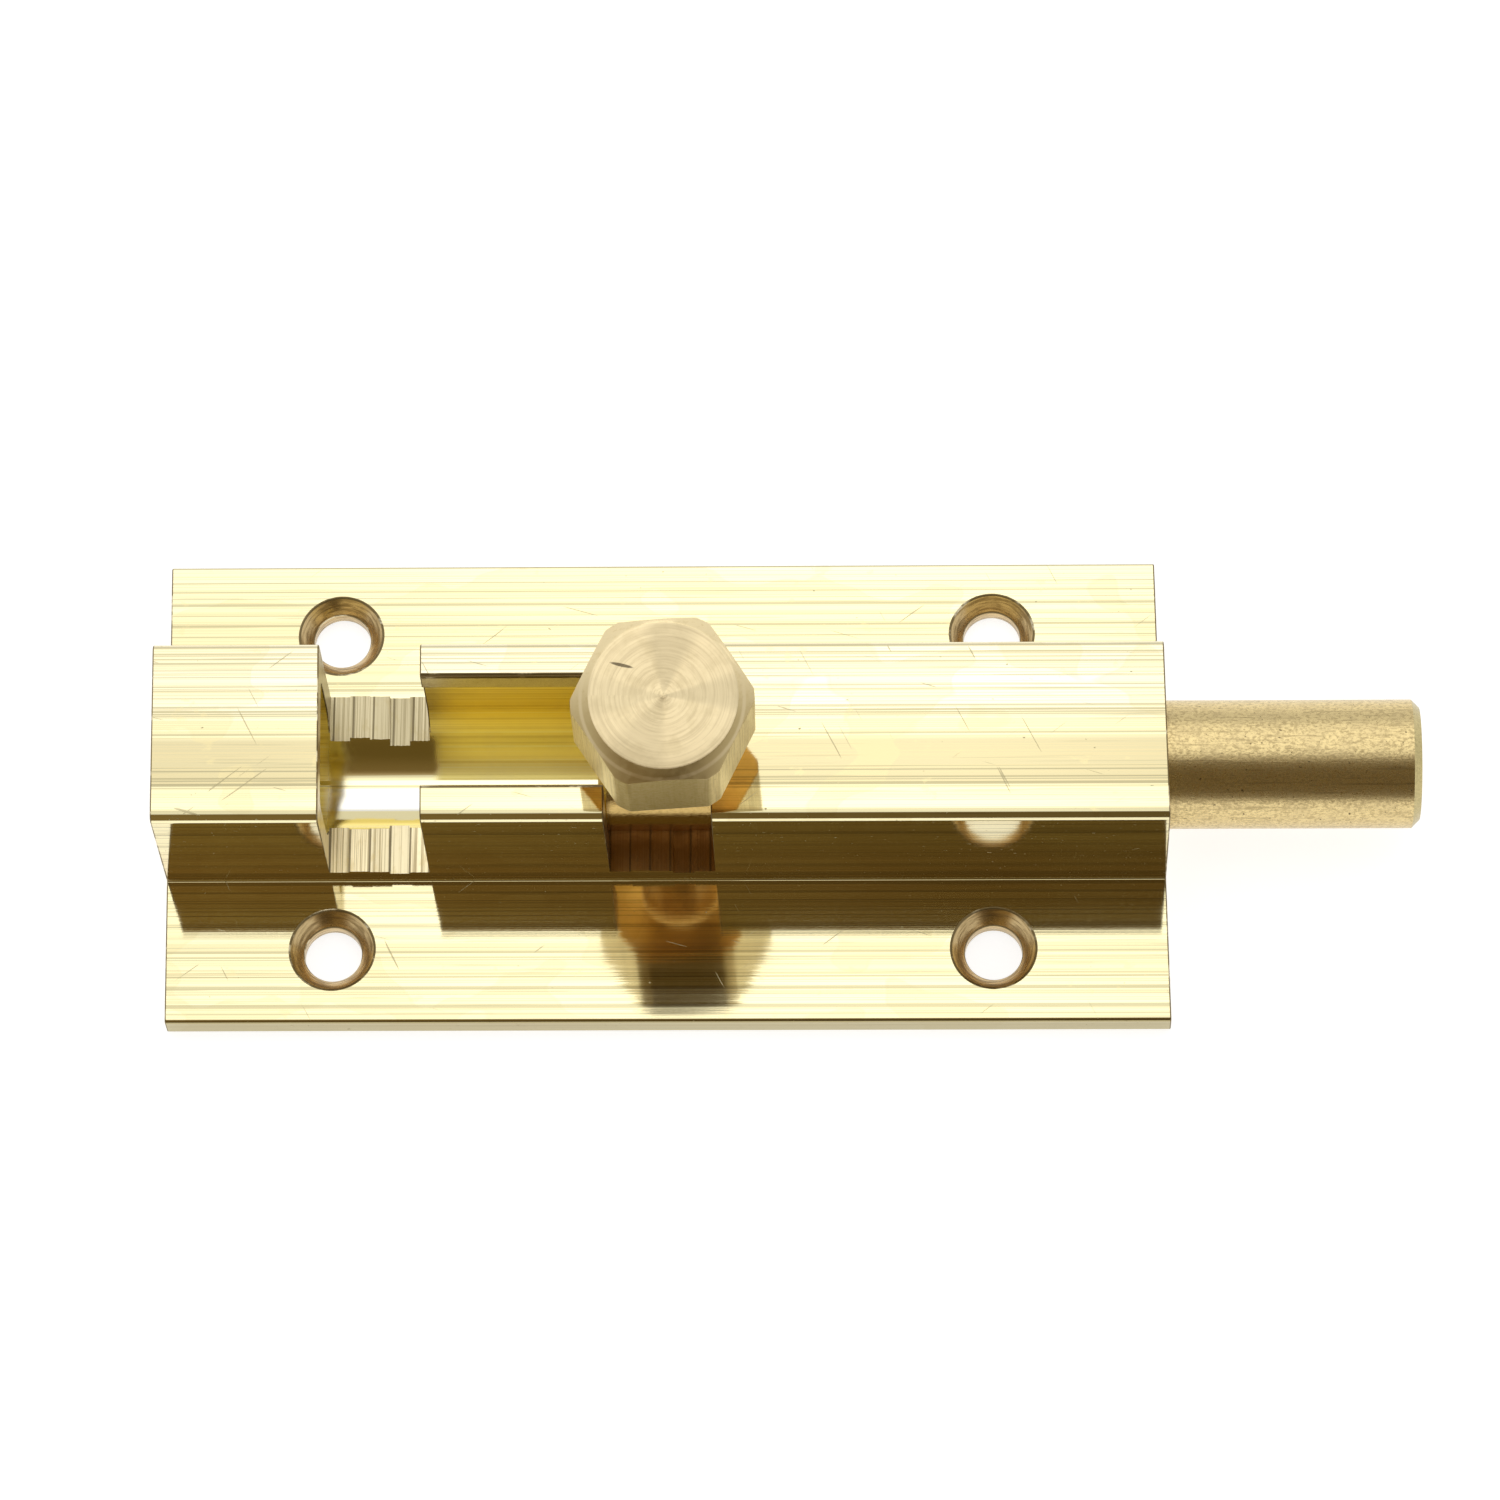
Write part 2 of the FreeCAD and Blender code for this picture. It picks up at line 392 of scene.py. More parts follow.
def drawn_brass(nodes, shader):
    """Polished extrusion: crisp lines run its whole length, with pale tarnish and a few marks."""
    hair = nodes.noise(nodes.place((0.0008, 13.0, 13.0)), 1.0, 0.5)
    line = nodes.noise(nodes.place((0.0006, 6.2, 6.2), offset=(0.3, 5.2, 1.1)), 2.0, 0.7)
    broad = nodes.noise(nodes.place((0.006, 0.55, 0.55), offset=(3.1, 7.7, 1.9)), 2.0, 0.6)
    short = nodes.noise(nodes.place((0.10, 8.0, 8.0), offset=(1.3, 2.9, 8.2)), 1.0, 0.5)
    stain = nodes.noise(nodes.place((0.14, 0.20, 0.20), offset=(4.2, 0.7, 2.5)), 2.0, 0.45)
    smear = nodes.noise(nodes.place((0.7, 0.9, 0.9), offset=(8.1, 2.3, 4.6)), 4.0, 0.6)
    fleck = nodes.noise(nodes.place((2.6, 3.4, 3.4), offset=(9.0, 4.0, 3.0)), 2.0, 0.6)
    _, y, z = nodes.xyz_mm()

    # the rear half of the box top is bright, and a band in front of its middle is dull with lines
    top = nodes.ramp(z, BOX_TOP - 0.6, BOX_TOP - 0.4)
    dull = nodes.times(top, nodes.between(y, -3.0, -0.4, 0.25))
    bright = nodes.times(top, nodes.ramp(y, 0.0, 1.4, 0.0, 0.55))
    colour = nodes.mix(bright, BRASS, (0.98, 0.95, 0.80))
    colour = nodes.mix(nodes.times(dull, 0.90), colour, (0.60, 0.52, 0.30))
    colour = nodes.mix(nodes.ramp(broad, 0.46, 0.60, 0.0, 0.25), colour, BRASS_DEEP)
    colour = nodes.mix(nodes.ramp(stain, 0.50, 0.512, 0.0, 0.30), colour, BRASS_TAN)
    rim = nodes.math("ABSOLUTE", nodes.math("SUBTRACT", stain, 0.505))
    colour = nodes.mix(nodes.ramp(rim, 0.002, 0.007, 0.22, 0.0), colour, BRASS_TAN)
    colour = nodes.mix(nodes.ramp(hair, 0.52, 0.60, 0.0, 0.55), colour, BRASS_DEEP)
    busy = nodes.math("ADD", 0.68, nodes.times(dull, 0.32))
    lines = nodes.times(nodes.ramp(line, 0.57, 0.595), busy)
    colour = nodes.mix(lines, colour, BRASS_LINE)
    colour = nodes.mix(nodes.ramp(short, 0.64, 0.70, 0.0, 0.35), colour, BRASS_LINE)
    colour = nodes.mix(nodes.ramp(smear, 0.63, 0.70, 0.0, 0.35), colour, BRASS_TAN)
    marks = nodes.ramp(fleck, 0.74, 0.78, 0.0, 0.8)
    for angle, where, threshold in ((63, 3.0, 0.765), (-38, 11.0, 0.77), (17, 23.0, 0.77)):
        place = nodes.place((0.22, 6.0, 6.0), turn=(0, 0, angle), offset=(where, where, where))
        scratch = nodes.noise(place, 1.0, 0.5)
        scratch = nodes.ramp(scratch, threshold, threshold + 0.02, 0.0, 0.6)
        marks = nodes.math("MAXIMUM", marks, scratch)
    colour = nodes.mix(marks, colour, BRASS_LINE)
    # the side walls are a little redder towards the plate
    foot = nodes.times(
        nodes.ramp(z, PLATE_THICKNESS + 0.05, PLATE_THICKNESS + 0.2),
        nodes.ramp(z, 2.5, 7.5, 0.5, 0.0),
    )
    colour = nodes.mix(foot, colour, (0.80, 0.62, 0.38))
    rim = nodes.times(
        nodes.ramp(nodes.math("ABSOLUTE", y), PLATE_WIDTH / 2 - 0.12, PLATE_WIDTH / 2 - 0.04),
        nodes.ramp(z, PLATE_THICKNESS - 0.2, PLATE_THICKNESS, 0.70, 0.95),
    )
    colour = nodes.mix(rim, colour, (0.32, 0.26, 0.12))
    nodes.wire(colour, shader.inputs["Base Color"])

    rough = nodes.math(
        "ADD", nodes.ramp(broad, 0.35, 0.75, 0.06, 0.10), nodes.times(marks, 0.45)
    )
    nodes.wire(rough, shader.inputs["Roughness"])
    shader.inputs["Anisotropic"].default_value = 0.6
    shader.inputs["Anisotropic Rotation"].default_value = 0.25
    nodes.wire(along_x(nodes), shader.inputs["Tangent"])
    normal = nodes.bump(hair, 0.0005)
    normal = nodes.bump(line, 0.0020, normal)
    normal = nodes.bump(broad, 0.0100, normal)
    nodes.wire(normal, shader.inputs["Normal"])


def channel_brass(nodes, shader):
    """Inside of the extrusion: satin with drawn lines, polished where the open cut bares it."""
    fine = nodes.noise(nodes.place((0.006, 5.0, 5.0), offset=(2.0, 1.0, 6.0)), 3.0, 0.6)
    stain = nodes.noise(nodes.place((0.3, 0.5, 0.5)), 3.0, 0.6)
    colour = nodes.mix(nodes.ramp(fine, 0.50, 0.62, 0.0, 0.5), BRASS_INNER, (0.66, 0.52, 0.16))
    colour = nodes.mix(nodes.ramp(fine, 0.34, 0.46, 0.6, 0.0), colour, (1.0, 0.94, 0.52))
    colour = nodes.mix(nodes.ramp(stain, 0.5, 0.7, 0.0, 0.2), colour, BRASS_TAN)
    x, y, z = nodes.xyz_mm()
    # the floor of the open cut has been wiped smooth; under the roof it is still satin
    low = nodes.ramp(z, CUT_FLOOR - 0.2, CUT_FLOOR + 0.6, 1.0, 0.0)
    smooth = nodes.times(nodes.between(x, OPEN_CUT[0] - 0.2, OPEN_CUT[1] + 0.2, 0.4), low)
    colour = nodes.mix(smooth, colour, (0.90, 0.80, 0.46))
    # painted reflection: a near-white band across the smooth floor stands in for the bright light
    # mirrored in the hollow
    painted_bright_reflection = nodes.times(smooth, nodes.between(y, -1.15, 0.15, 0.06))
    colour = nodes.mix(painted_bright_reflection, colour, (0.97, 0.95, 0.86))
    # painted reflection: a darker olive band further back stands in for the dark room mirrored in
    # the hollow
    painted_dark_reflection = nodes.times(smooth, nodes.ramp(y, 1.0, 1.9, 0.0, 0.75))
    colour = nodes.mix(painted_dark_reflection, colour, (0.52, 0.44, 0.14))
    # the bolt has rubbed one line of the floor bright, all the way along
    rub_line_and_painted_reflection = nodes.times(low, nodes.between(y, 0.34, 0.58, 0.03))
    colour = nodes.mix(rub_line_and_painted_reflection, colour, (0.97, 0.92, 0.66))
    scored = nodes.times(low, nodes.between(y, 0.25, 0.31, 0.02))
    colour = nodes.mix(nodes.times(scored, 0.7), colour, BRASS_LINE)
    nodes.wire(colour, shader.inputs["Base Color"])
    polished = nodes.math("MAXIMUM", smooth, rub_line_and_painted_reflection)
    nodes.wire(nodes.ramp(polished, 0.0, 1.0, 0.38, 0.10), shader.inputs["Roughness"])
    nodes.wire(nodes.bump(fine, 0.0006), shader.inputs["Normal"])


def milled_brass(nodes, shader):
    """Cut faces: each pass of the cutter has its own tone and close tool lines across the part."""
    x, y, z = nodes.xyz_mm()
    lines = nodes.noise(nodes.place((11.0, 0.04, 11.0)), 2.0, 0.75)
    patch = nodes.noise(nodes.place((1.6, 0.9, 1.6)), 3.0, 0.6)
    # number of the pass, counted from the open cut's left side
    pitch = (OPEN_CUT[1] - OPEN_CUT[0]) / len(PASS_RISE)
    passes = nodes.math("DIVIDE", nodes.math("SUBTRACT", x, OPEN_CUT[0]), pitch)
    tone = nodes.add("ShaderNodeTexWhiteNoise", noise_dimensions="1D")
    nodes.wire(nodes.math("FLOOR", passes), tone.inputs["W"])
    plate_end = PLATE_LENGTH / 2
    in_floor = nodes.times(
        nodes.ramp(z, CUT_FLOOR + 0.3, CUT_FLOOR + 0.6, 1.0, 0.0),
        nodes.ramp(nodes.math("ABSOLUTE", x), plate_end - 1.5, plate_end - 1.0, 1.0, 0.0),
    )
    scored = nodes.math("ADD", 0.30, nodes.times(in_floor, 0.45))
    scored = nodes.times(nodes.ramp(lines, 0.46, 0.60), scored)
    colour = nodes.mix(scored, (0.98, 0.86, 0.56), (0.42, 0.33, 0.17))
    colour = nodes.mix(
        nodes.times(nodes.times(tone.outputs["Value"], 0.35), in_floor),
        colour, (0.42, 0.35, 0.20),
    )
    colour = nodes.mix(nodes.ramp(patch, 0.52, 0.68, 0.0, 0.35), colour, (0.62, 0.48, 0.20))
    # painted shade: the floor of the locking cut is coloured dark brown, standing in for the knob
    # and bolt mirrored dark in it; the rear lands are duller than the front ones
    lock_cut_painted_shade = nodes.times(nodes.between(x, -3.5, 4.5, 0.5), 0.88)
    colour = nodes.mix(lock_cut_painted_shade, colour, (0.24, 0.135, 0.033))
    rear = nodes.ramp(y, 1.0, 2.0, 0.0, 0.55)
    colour = nodes.mix(rear, colour, (0.33, 0.28, 0.16))
    off = nodes.math("ABSOLUTE", nodes.math("SUBTRACT", nodes.math("FRACT", passes), 0.5))
    seam = nodes.times(nodes.ramp(off, 0.435, 0.46, 0.0, 0.8), in_floor)
    colour = nodes.mix(seam, colour, (0.13, 0.10, 0.05))
    nodes.wire(colour, shader.inputs["Base Color"])
    nodes.wire(nodes.ramp(lines, 0.3, 0.7, 0.28, 0.42), shader.inputs["Roughness"])
    nodes.wire(nodes.bump(lines, 0.006), shader.inputs["Normal"])


def worn_edge(nodes, shader):
    """Broken edges: dull and dark, rubbed bright in places."""
    rub = nodes.noise(nodes.place((0.5, 0.9, 0.9), offset=(7.0, 2.0, 4.0)), 4.0, 0.65)
    colour = nodes.mix(nodes.ramp(rub, 0.52, 0.66), (0.22, 0.165, 0.075), BRASS_PALE)
    nodes.wire(colour, shader.inputs["Base Color"])
    nodes.wire(nodes.ramp(rub, 0.5, 0.66, 0.42, 0.24), shader.inputs["Roughness"])
    nodes.wire(nodes.bump(rub, 0.004), shader.inputs["Normal"])


def bored_brass(nodes, shader):
    """Countersinks: rings left by the cutter, a little chatter."""
    spin = nodes.noise(nodes.place((0.8, 0.8, 9.0)), 3.0, 0.6)
    colour = nodes.mix(nodes.ramp(spin, 0.40, 0.66), (0.70, 0.52, 0.26), (0.36, 0.25, 0.11))
    nodes.wire(colour, shader.inputs["Base Color"])
    nodes.wire(nodes.ramp(spin, 0.3, 0.7, 0.20, 0.36), shader.inputs["Roughness"])
    nodes.wire(nodes.bump(spin, 0.008), shader.inputs["Normal"])


def rod_brass(nodes, shader):
    """Drawn round bar: satin, finely speckled, with faint lines along it."""
    speck = nodes.noise(nodes.place((5.0, 8.0, 8.0)), 3.0, 0.75)
    blotch = nodes.noise(nodes.place((0.9, 0.9, 0.9), offset=(2.0, 3.0, 4.0)), 4.0, 0.65)
    lines = nodes.noise(nodes.place((0.25, 7.0, 7.0)), 2.0, 0.6)
    pit = nodes.noise(nodes.place((4.0, 4.0, 4.0), offset=(6.0, 1.0, 4.0)), 2.0, 0.6)
    x, _, z = nodes.xyz_mm()
    speckled = nodes.ramp(speck, 0.44, 0.62, 0.0, 0.75)
    colour = nodes.mix(speckled, (0.77, 0.61, 0.30), (0.41, 0.31, 0.145))
    colour = nodes.mix(nodes.ramp(blotch, 0.46, 0.60, 0.0, 0.35), colour, (0.60, 0.47, 0.24))
    colour = nodes.mix(nodes.ramp(lines, 0.58, 0.68, 0.0, 0.55), colour, (0.38, 0.29, 0.14))
    colour = nodes.mix(nodes.ramp(pit, 0.68, 0.74, 0.0, 0.85), colour, GRIME)
    # painted shade: the bolt is darker and browner in the notch under the knob, where the knob's
    # stud goes in; the same mask makes it glossier there
    gloss_and_painted_shade = nodes.times(
        nodes.between(x, -3.2, 4.2, 0.5), nodes.ramp(z, 6.6, 7.3, 1.0, 0.15)
    )
    colour = nodes.mix(nodes.times(gloss_and_painted_shade, 0.75), colour, (0.52, 0.34, 0.10))
    # painted reflection: the lower half of the bolt in the notch is coloured bright orange,
    # standing in for the brass floor mirrored in it
    rub_line_and_painted_reflection = nodes.times(gloss_and_painted_shade, nodes.ramp(z, 4.95, 5.25, 0.8, 0.0))
    colour = nodes.mix(rub_line_and_painted_reflection, colour, (1.0, 0.62, 0.34))
    # the filed tip is duller
    tip_edge = ROD_TIP - ROD_TIP_CHAMFER
    filed = nodes.ramp(x, tip_edge - 0.02, tip_edge + 0.02, 0.0, 0.65)
    colour = nodes.mix(filed, colour, (0.40, 0.35, 0.16))
    nodes.wire(colour, shader.inputs["Base Color"])
    rough = nodes.ramp(speck, 0.3, 0.7, 0.24, 0.36)
    rough = nodes.math("SUBTRACT", rough, nodes.times(gloss_and_painted_shade, 0.15))
    nodes.wire(rough, shader.inputs["Roughness"])
    normal = nodes.bump(speck, 0.006)
    normal = nodes.bump(lines, 0.003, normal)
    nodes.wire(normal, shader.inputs["Normal"])


def knob_brass(nodes, shader):
    """Sides of the hexagonal bar: drawn lines run along the knob's axis."""
    _, y, z = nodes.xyz_mm()
    lines = nodes.noise(nodes.place((6.0, 6.0, 0.15)), 3.0, 0.7)
    speck = nodes.noise(nodes.place((4.0, 4.0, 4.0)), 4.0, 0.7)
    lined = nodes.ramp(lines, 0.42, 0.62, 0.0, 0.65)
    colour = nodes.mix(lined, (0.92, 0.78, 0.47), (0.58, 0.46, 0.24))
    colour = nodes.mix(nodes.ramp(speck, 0.52, 0.70, 0.0, 0.45), colour, (0.50, 0.38, 0.18))
    # painted shade: the side turned to the front is coloured dark
    front_side_painted_shade = nodes.ramp(y, -4.02, -3.72, 0.85, 0.0)
    colour = nodes.mix(front_side_painted_shade, colour, (0.30, 0.21, 0.03))
    # painted reflection: the rim of the underside is coloured orange, standing in for the brass
    # below mirrored in it
    underside_painted_reflection = nodes.between(z, HEAD_UNDERSIDE - 0.10, HEAD_UNDERSIDE + 0.05, 0.03)
    colour = nodes.mix(nodes.times(underside_painted_reflection, 0.9), colour, (0.80, 0.51, 0.19))
    # painted shade: the neck under the head is coloured dark orange, like the bolt under it
    colour = nodes.mix(nodes.ramp(z, 7.4, 8.0, 0.85, 0.0), colour, (0.58, 0.38, 0.15))
    nodes.wire(colour, shader.inputs["Base Color"])
    nodes.wire(nodes.ramp(speck, 0.3, 0.7, 0.28, 0.40), shader.inputs["Roughness"])
    normal = nodes.bump(lines, 0.006)
    normal = nodes.bump(speck, 0.004, normal)
    nodes.wire(normal, shader.inputs["Normal"])


def chamfer_brass(nodes, shader):
    """The knob's turned chamfer, with one ring paled by wear; painted shade makes it tan on the
    side towards the camera and pale behind.
    """
    x, y, _ = nodes.xyz_mm()
    radius = nodes.distance(x, y)
    speck = nodes.noise(nodes.place((3.0, 3.0, 3.0)), 4.0, 0.7)
    # painted shade: tan towards the camera's side, pale behind
    colour = nodes.mix(nodes.ramp(y, -1.6, 2.6), (0.54, 0.42, 0.20), (0.94, 0.78, 0.46))
    colour = nodes.mix(nodes.ramp(speck, 0.50, 0.70, 0.0, 0.30), colour, (0.56, 0.43, 0.20))
    ring = nodes.between(radius, 3.92, 4.08, 0.05)
    ring = nodes.times(ring, nodes.ramp(y, -0.5, 2.0, 0.5, 0.15))
    colour = nodes.mix(ring, colour, (0.84, 0.70, 0.43))
    nodes.wire(colour, shader.inputs["Base Color"])
    nodes.wire(nodes.ramp(speck, 0.3, 0.7, 0.34, 0.46), shader.inputs["Roughness"])
    nodes.wire(nodes.bump(speck, 0.004), shader.inputs["Normal"])


def faced_brass(nodes, shader):
    """Turned face of the knob: rings round its own axis."""
    x, y, _ = nodes.xyz_mm()
    x = nodes.math("SUBTRACT", x, FACING_CENTRE[0])
    y = nodes.math("SUBTRACT", y, FACING_CENTRE[1])
    radius = nodes.distance(x, y)
    turn = nodes.math("ARCTAN2", y, x)
    place = nodes.add("ShaderNodeCombineXYZ")
    nodes.wire(nodes.times(radius, 9.0), place.inputs["X"])
    nodes.wire(nodes.times(turn, 0.6), place.inputs["Y"])
    rings = nodes.noise(place.outputs["Vector"], 3.0, 0.7)
    patch = nodes.noise(nodes.place((0.9, 0.9, 0.9), offset=(1.0, 2.0, 3.0)), 3.0, 0.6)
    ringed = nodes.ramp(rings, 0.44, 0.66, 0.0, 0.35)
    colour = nodes.mix(ringed, (0.96, 0.80, 0.49), (0.68, 0.56, 0.33))
    colour = nodes.mix(nodes.ramp(patch, 0.45, 0.65, 0.0, 0.35), colour, (0.70, 0.57, 0.32))
    # painted sheen: dull sectors spreading out from the middle stand in for the dark arms of the
    # turned face's sheen
    painted_sheen_sectors = ((0.05, 0.34, 0.40), (1.45, 0.50, 0.40), (3.15, 0.40, 0.22), (4.30, 0.55, 0.30))
    for middle, width, depth in painted_sheen_sectors:
        apart = nodes.math("COSINE", nodes.math("SUBTRACT", turn, middle))
        sector = nodes.ramp(apart, math.cos(width), math.cos(width * 0.35), 0.0, depth)
        colour = nodes.mix(sector, colour, (0.54, 0.45, 0.27))
    # one short nick: a narrow ellipse turned a little
    nick_x, nick_y, nick_length, nick_width = -2.03, 1.52, 0.60, 0.09
    lean = math.radians(-13)
    right = nodes.math("SUBTRACT", x, nick_x)
    up = nodes.math("SUBTRACT", y, nick_y)
    along = nodes.math(
        "ADD", nodes.times(right, math.cos(lean)), nodes.times(up, math.sin(lean))
    )
    across = nodes.math(
        "SUBTRACT", nodes.times(up, math.cos(lean)), nodes.times(right, math.sin(lean))
    )
    along = nodes.math("ABSOLUTE", nodes.math("DIVIDE", along, nick_length))
    across = nodes.math("ABSOLUTE", nodes.math("DIVIDE", across, nick_width))
    far = nodes.math(
        "ADD", nodes.math("POWER", along, 2.0), nodes.math("POWER", across, 2.0)
    )
    colour = nodes.mix(nodes.ramp(far, 0.5, 1.2, 0.85, 0.0), colour, (0.12, 0.09, 0.05))
    nodes.wire(colour, shader.inputs["Base Color"])
    nodes.wire(nodes.ramp(rings, 0.3, 0.7, 0.36, 0.46), shader.inputs["Roughness"])
    shader.inputs["Anisotropic"].default_value = 0.5
    shader.inputs["Anisotropic Rotation"].default_value = 0.25
    tangent = nodes.add("ShaderNodeTangent", direction_type="RADIAL", axis="Z")
    nodes.wire(tangent.outputs["Tangent"], shader.inputs["Tangent"])
    nodes.wire(nodes.bump(rings, 0.0022), shader.inputs["Normal"])


DRAWN = metal("drawn_brass", drawn_brass)
CHANNEL = metal("channel_brass", channel_brass)
MILLED = metal("milled_brass", milled_brass)
BORED = metal("bored_brass", bored_brass)
EDGE = metal("worn_edge", worn_edge)
ROD = metal("rod_brass", rod_brass)
KNOB = metal("knob_brass", knob_brass)
CHAMFER = metal("chamfer_brass", chamfer_brass)
FACED = metal("faced_brass", faced_brass)


# ---------------------------------------------------------------- body
def cross_cut_outline(start, end, seed):
    """Outline of one cross cut: five passes side by side, each scored by fine tool lines."""
    draw = random.Random(seed)
    outline = []
    step = (end - start) / len(PASS_RISE)
    for i, rise in enumerate(PASS_RISE):
        for k in range(SCORES_PER_PASS):
            left = start + step * (i + k / SCORES_PER_PASS)
            right = start + step * (i + (k + 1) / SCORES_PER_PASS)
            level = CUT_FLOOR + rise + draw.uniform(-SCORE_DEPTH, SCORE_DEPTH)
            outline.append((left, level))
            outline.append((right, level))
    outline.append((end, CUTTER_TOP))
    outline.append((start, CUTTER_TOP))
    return outline


def channel_outline():
    """Section of the channel: a round floor, straight sides and a flat roof with small corners."""
    channel = []
    for k in range(CHANNEL_STEPS + 1):
        turn = math.pi + math.pi * k / CHANNEL_STEPS
        channel.append((CHANNEL_RADIUS * math.cos(turn), AXIS_Z + CHANNEL_RADIUS * math.sin(turn)))
    inner = CHANNEL_CORNER_RADIUS
    for side, first in ((1, 0), (-1, 90)):
        for k in range(CORNER_STEPS + 1):
            turn = math.radians(first + 90 * k / CORNER_STEPS)
            channel.append((
                side * (CHANNEL_RADIUS - inner) + inner * math.cos(turn),
                CHANNEL_ROOF - inner + inner * math.sin(turn),
            ))
    return channel


def slot_outline():
    """Section of the roof slot, with its top edges broken; it reaches down into the channel."""
    half_slot = SLOT_WIDTH / 2
    over = 1.0
    return [
        (-half_slot, CHANNEL_ROOF - 1.2),
        (half_slot, CHANNEL_ROOF - 1.2),
        (half_slot, BOX_TOP - SLOT_EDGE_BREAK),
        (half_slot + SLOT_EDGE_BREAK + over, BOX_TOP + over),
        (-half_slot - SLOT_EDGE_BREAK - over, BOX_TOP + over),
        (-half_slot, BOX_TOP - SLOT_EDGE_BREAK),
    ]


def build_body():
    """The extrusion, with its channel, roof slot, cross cuts and screw holes taken out."""
    half_plate = PLATE_WIDTH / 2
    half_box = BOX_WIDTH / 2
    outline = rounded([
        (-half_plate, 0.0, PLATE_EDGE_RADIUS),
        (half_plate, 0.0, PLATE_EDGE_RADIUS),
        (half_plate, PLATE_THICKNESS, PLATE_EDGE_RADIUS),
        (half_box, PLATE_THICKNESS, BOX_FOOT_RADIUS),
        (half_box, BOX_TOP, BOX_CORNER_RADIUS),
        (-half_box, BOX_TOP, BOX_CORNER_RADIUS),
        (-half_box, PLATE_THICKNESS, BOX_FOOT_RADIUS),
        (-half_plate, PLATE_THICKNESS, PLATE_EDGE_RADIUS),
    ], CORNER_STEPS)
    half_length = PLATE_LENGTH / 2
    body = prism_x("extruded_body_fine", outline, -half_length, half_length)
    for vertex in body.data.vertices:
        vertex.co.x -= SAW_SKEW * vertex.co.y
    body.data.materials.append(DRAWN)
    body.data.materials.append(MILLED)
    for face in body.data.polygons:
        if abs(face.normal.x) > 0.9:    # the two ends
            face.material_index = 1

    channel = prism_x("channel", channel_outline(), -half_length - 2, half_length + 2)
    carve(body, channel, CHANNEL)
    # the slot runs from one cross cut into the other
    slot = prism_x("slot", slot_outline(), OPEN_CUT[1] - 1.5, LOCK_CUT[0] + 1.5)
    carve(body, slot, MILLED)
    for seed, (start, end) in enumerate((OPEN_CUT, LOCK_CUT)):
        outline = cross_cut_outline(start, end, seed)
        carve(body, prism_y("cut", outline, -CUTTER_REACH, CUTTER_REACH), MILLED)

    depth = COUNTERSINK_RADIUS - HOLE_RADIUS
    profile = [
        (HOLE_RADIUS, -1.0),
        (HOLE_RADIUS, PLATE_THICKNESS - depth),
        (COUNTERSINK_RADIUS + 0.5, PLATE_THICKNESS + 0.5),
    ]
    for side_x in (-1, 1):
        for side_y in (-1, 1):
            centre = (side_x * HOLE_SPACING_X / 2, side_y * HOLE_SPACING_Y / 2)
            carve(body, lathe_z("hole", profile, HOLE_SEGMENTS, centre), BORED)

    def chosen(edge):
        """Every edge but those in the floors of the cross cuts."""
        middle = (edge.verts[0].co + edge.verts[1].co) / 2 / MM
        in_floor = PLATE_THICKNESS + 0.1 < middle.z < CUT_FLOOR + 0.3
        return not in_floor

    soften(body, EDGE_BREAK, chosen, EDGE)
    shade(body)
    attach(body, "housing")
    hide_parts("extruded_body")


# ---------------------------------------------------------------- rod
def build_rod():
    """The round bolt: turned about X, with a filed tip and a faced rear end."""
    stations = [
        (ROD_REAR, 0.0), (ROD_REAR, 1.2), (ROD_REAR, ROD_RADIUS - 0.35),
        (ROD_REAR + 0.05, ROD_RADIUS - 0.25), (ROD_REAR + 0.3, ROD_RADIUS - 0.02),
        (ROD_REAR + 0.4, ROD_RADIUS),
    ]
    # rings in between keep the shading even
    stations += [(x, ROD_RADIUS) for x in (2, 8, 14, 20, 26, 30, 34, 36)]
    stations += [
        (ROD_TIP - ROD_TIP_CHAMFER, ROD_RADIUS),
        (ROD_TIP, ROD_RADIUS - ROD_TIP_CHAMFER),
        (ROD_TIP, 1.6), (ROD_TIP, 0.0),
    ]
    points = []
    for x, radius in stations:
        for k in range(ROD_SEGMENTS):
            turn = 2 * math.pi * k / ROD_SEGMENTS
            points.append((x, radius * math.cos(turn), AXIS_Z + radius * math.sin(turn)))
    rod = make_object("bolt_rod_fine", points, ring_faces(len(stations), ROD_SEGMENTS))
    bm = bmesh.new()
    bm.from_mesh(rod.data)
    bmesh.ops.remove_doubles(bm, verts=bm.verts, dist=WELD * MM)
    bmesh.ops.recalc_face_normals(bm, faces=bm.faces)
    bm.to_mesh(rod.data)
    bm.free()
    rod.data.materials.append(ROD)
    shade(rod, angle=40)
    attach(rod, "bolt")
    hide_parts("bolt_rod")


# ---------------------------------------------------------------- knob
def hex_radius(turn):
    """Distance to the head's side in direction turn: a hexagon with its corners skimmed round."""
    sector = math.pi / 3
    off = (turn - math.radians(KNOB_TWIST)) % sector - sector / 2
    return min(KNOB_ACROSS_FLATS / 2 / math.cos(off), KNOB_CORNER_RADIUS)


